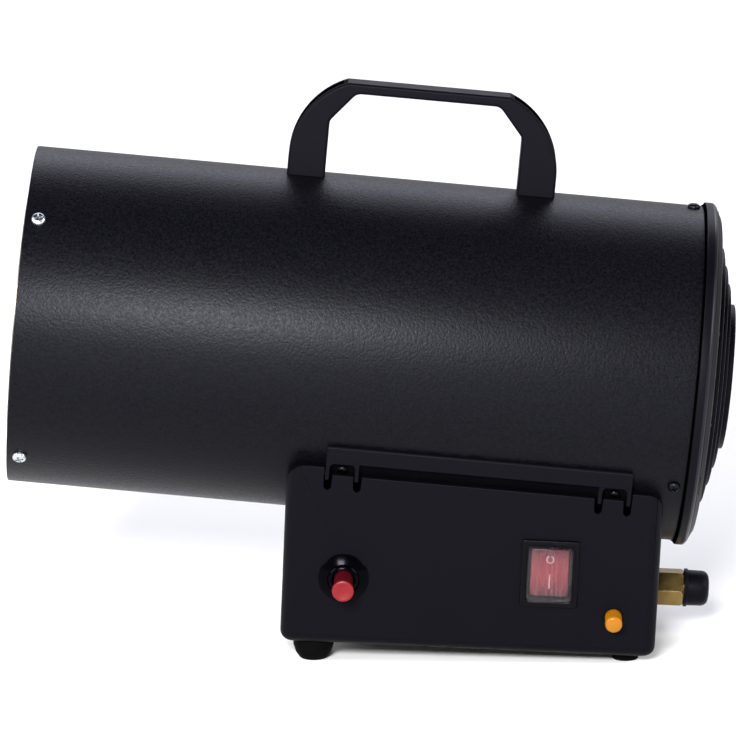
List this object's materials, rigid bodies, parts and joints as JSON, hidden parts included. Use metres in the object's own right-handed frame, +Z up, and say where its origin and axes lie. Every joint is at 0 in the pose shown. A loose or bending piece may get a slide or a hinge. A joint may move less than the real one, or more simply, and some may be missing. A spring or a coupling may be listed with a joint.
{
  "type": "forced air heater",
  "caption": "Portable forced air gas heater: steel drum on a moulded control box, with carrying handle, burner, fan, buttons and rocker switch.",
  "frame": {"origin": "on the floor, in the middle of the box that bounds the heater", "axes": "+X towards the fan and the gas inlet, -X where the hot air leaves, -Y the control panel, +Z up"},
  "size_m": [0.4111, 0.2004, 0.319],
  "materials": {
    "powder_coated_steel": "black powder coat with a fine even texture and a soft satin sheen",
    "heat_tinted_steel": "plain sheet steel, dulled and slightly tinted by heat",
    "galvanised_steel": "zinc-coated sheet, dull grey with a faint spangle",
    "zinc_plated_steel": "bright zinc plating on pressed and turned steel",
    "black_oxide_steel": "blackened steel, low sheen",
    "black_moulded_plastic": "glass-filled black plastic with a fine moulded grain",
    "black_soft_vinyl": "dip-moulded soft vinyl, satin",
    "gloss_black_plastic": "polished black moulding",
    "red_plastic": "coloured moulding with a satin face",
    "yellow_plastic": "coloured moulding with a soft gloss",
    "red_translucent_plastic": "translucent red moulding, lit from within on the real switch",
    "clear_soft_plastic": "clear flexible splash cover, slightly milky",
    "brass": "turned and milled brass, bright on its flats",
    "copper": "drawn copper, slightly dulled",
    "enamelled_winding": "enamelled copper wire, varnished",
    "glazed_ceramic": "white glazed insulator",
    "black_rubber": "moulded rubber, matte",
    "grey_plastic": "plain grey moulding"
  },
  "bodies": {
    "housing": {"drum_casing": "powder_coated_steel", "combustion_chamber": "heat_tinted_steel", "burner_head": "heat_tinted_steel", "chamber_spacer": "galvanised_steel", "burner_bracket": "galvanised_steel", "motor_stator": "galvanised_steel", "motor_strap_front": "galvanised_steel", "motor_strap_rear": "galvanised_steel", "motor_mount": "galvanised_steel", "outlet_screw_1": "zinc_plated_steel", "outlet_screw_2": "zinc_plated_steel", "outlet_screw_3": "zinc_plated_steel", "outlet_screw_4": "zinc_plated_steel", "handle_screw_1": "zinc_plated_steel", "handle_screw_2": "zinc_plated_steel", "shell_screw_1": "zinc_plated_steel", "shell_screw_2": "zinc_plated_steel", "motor_bolt_1": "zinc_plated_steel", "motor_bolt_2": "zinc_plated_steel", "valve_spring": "zinc_plated_steel", "igniter_spring": "zinc_plated_steel", "grille_screw_1": "black_oxide_steel", "grille_screw_2": "black_oxide_steel", "grille_screw_3": "black_oxide_steel", "saddle_screw_1": "black_oxide_steel", "saddle_screw_2": "black_oxide_steel", "saddle_screw_3": "black_oxide_steel", "saddle_screw_4": "black_oxide_steel", "rear_grille": "black_moulded_plastic", "carry_handle": "black_moulded_plastic", "drum_saddle": "black_moulded_plastic", "front_shell": "black_moulded_plastic", "rear_shell": "black_moulded_plastic", "piezo_igniter": "black_moulded_plastic", "overheat_thermostat": "black_moulded_plastic", "switch_housing": "black_moulded_plastic", "igniter_collar": "gloss_black_plastic", "switch_cap": "clear_soft_plastic", "gas_valve": "brass", "inlet_fitting": "brass", "burner_jet": "brass", "gas_pipe": "copper", "thermocouple": "copper", "motor_coil": "enamelled_winding", "ignition_electrode": "glazed_ceramic", "front_foot_near": "black_rubber", "front_foot_far": "black_rubber", "rear_foot_near": "black_rubber", "rear_foot_far": "black_rubber", "cable_bush": "black_rubber", "ignition_lead": "black_rubber", "motor_lead": "black_rubber", "terminal_block": "grey_plastic"},
    "fan": {"motor_rotor": "zinc_plated_steel", "fan_impeller": "black_moulded_plastic", "fan_clip": "zinc_plated_steel"},
    "rocker": {"switch_rocker": "red_translucent_plastic"},
    "igniter_pusher": {"igniter_button": "red_plastic"},
    "gas_valve_pusher": {"valve_button": "yellow_plastic"},
    "inlet_dust_cap": {"inlet_cap": "black_soft_vinyl"}
  },
  "joints": [
    {"name": "fan_spin", "type": "hinge", "parent": "housing", "child": "fan", "pos_m": [0.15353, 0.00301, 0.1538], "axis": [0.996, 0, -0.0898], "continuous": true},
    {"name": "rocker_tilt", "type": "hinge", "parent": "housing", "child": "rocker", "pos_m": [0.09992, -0.07294, 0.05528], "axis": [0.999, 0, -0.0436], "range_deg": [0, 16]},
    {"name": "igniter_push", "type": "slide", "parent": "housing", "child": "igniter_pusher", "axis": [0.0046, 0.9945, 0.1044], "range_m": [0, 0.006], "stiffness_N_per_m": 600, "springref_m": -0.003, "deforming": ["igniter_spring"]},
    {"name": "valve_push", "type": "slide", "parent": "housing", "child": "gas_valve_pusher", "axis": [0.0046, 0.9945, 0.1044], "range_m": [0, 0.005], "stiffness_N_per_m": 800, "springref_m": -0.002, "deforming": ["valve_spring"]},
    {"name": "cap_pull", "type": "slide", "parent": "housing", "child": "inlet_dust_cap", "axis": [0.999, 0, -0.0436], "range_m": [0, 0.02]}
  ]
}
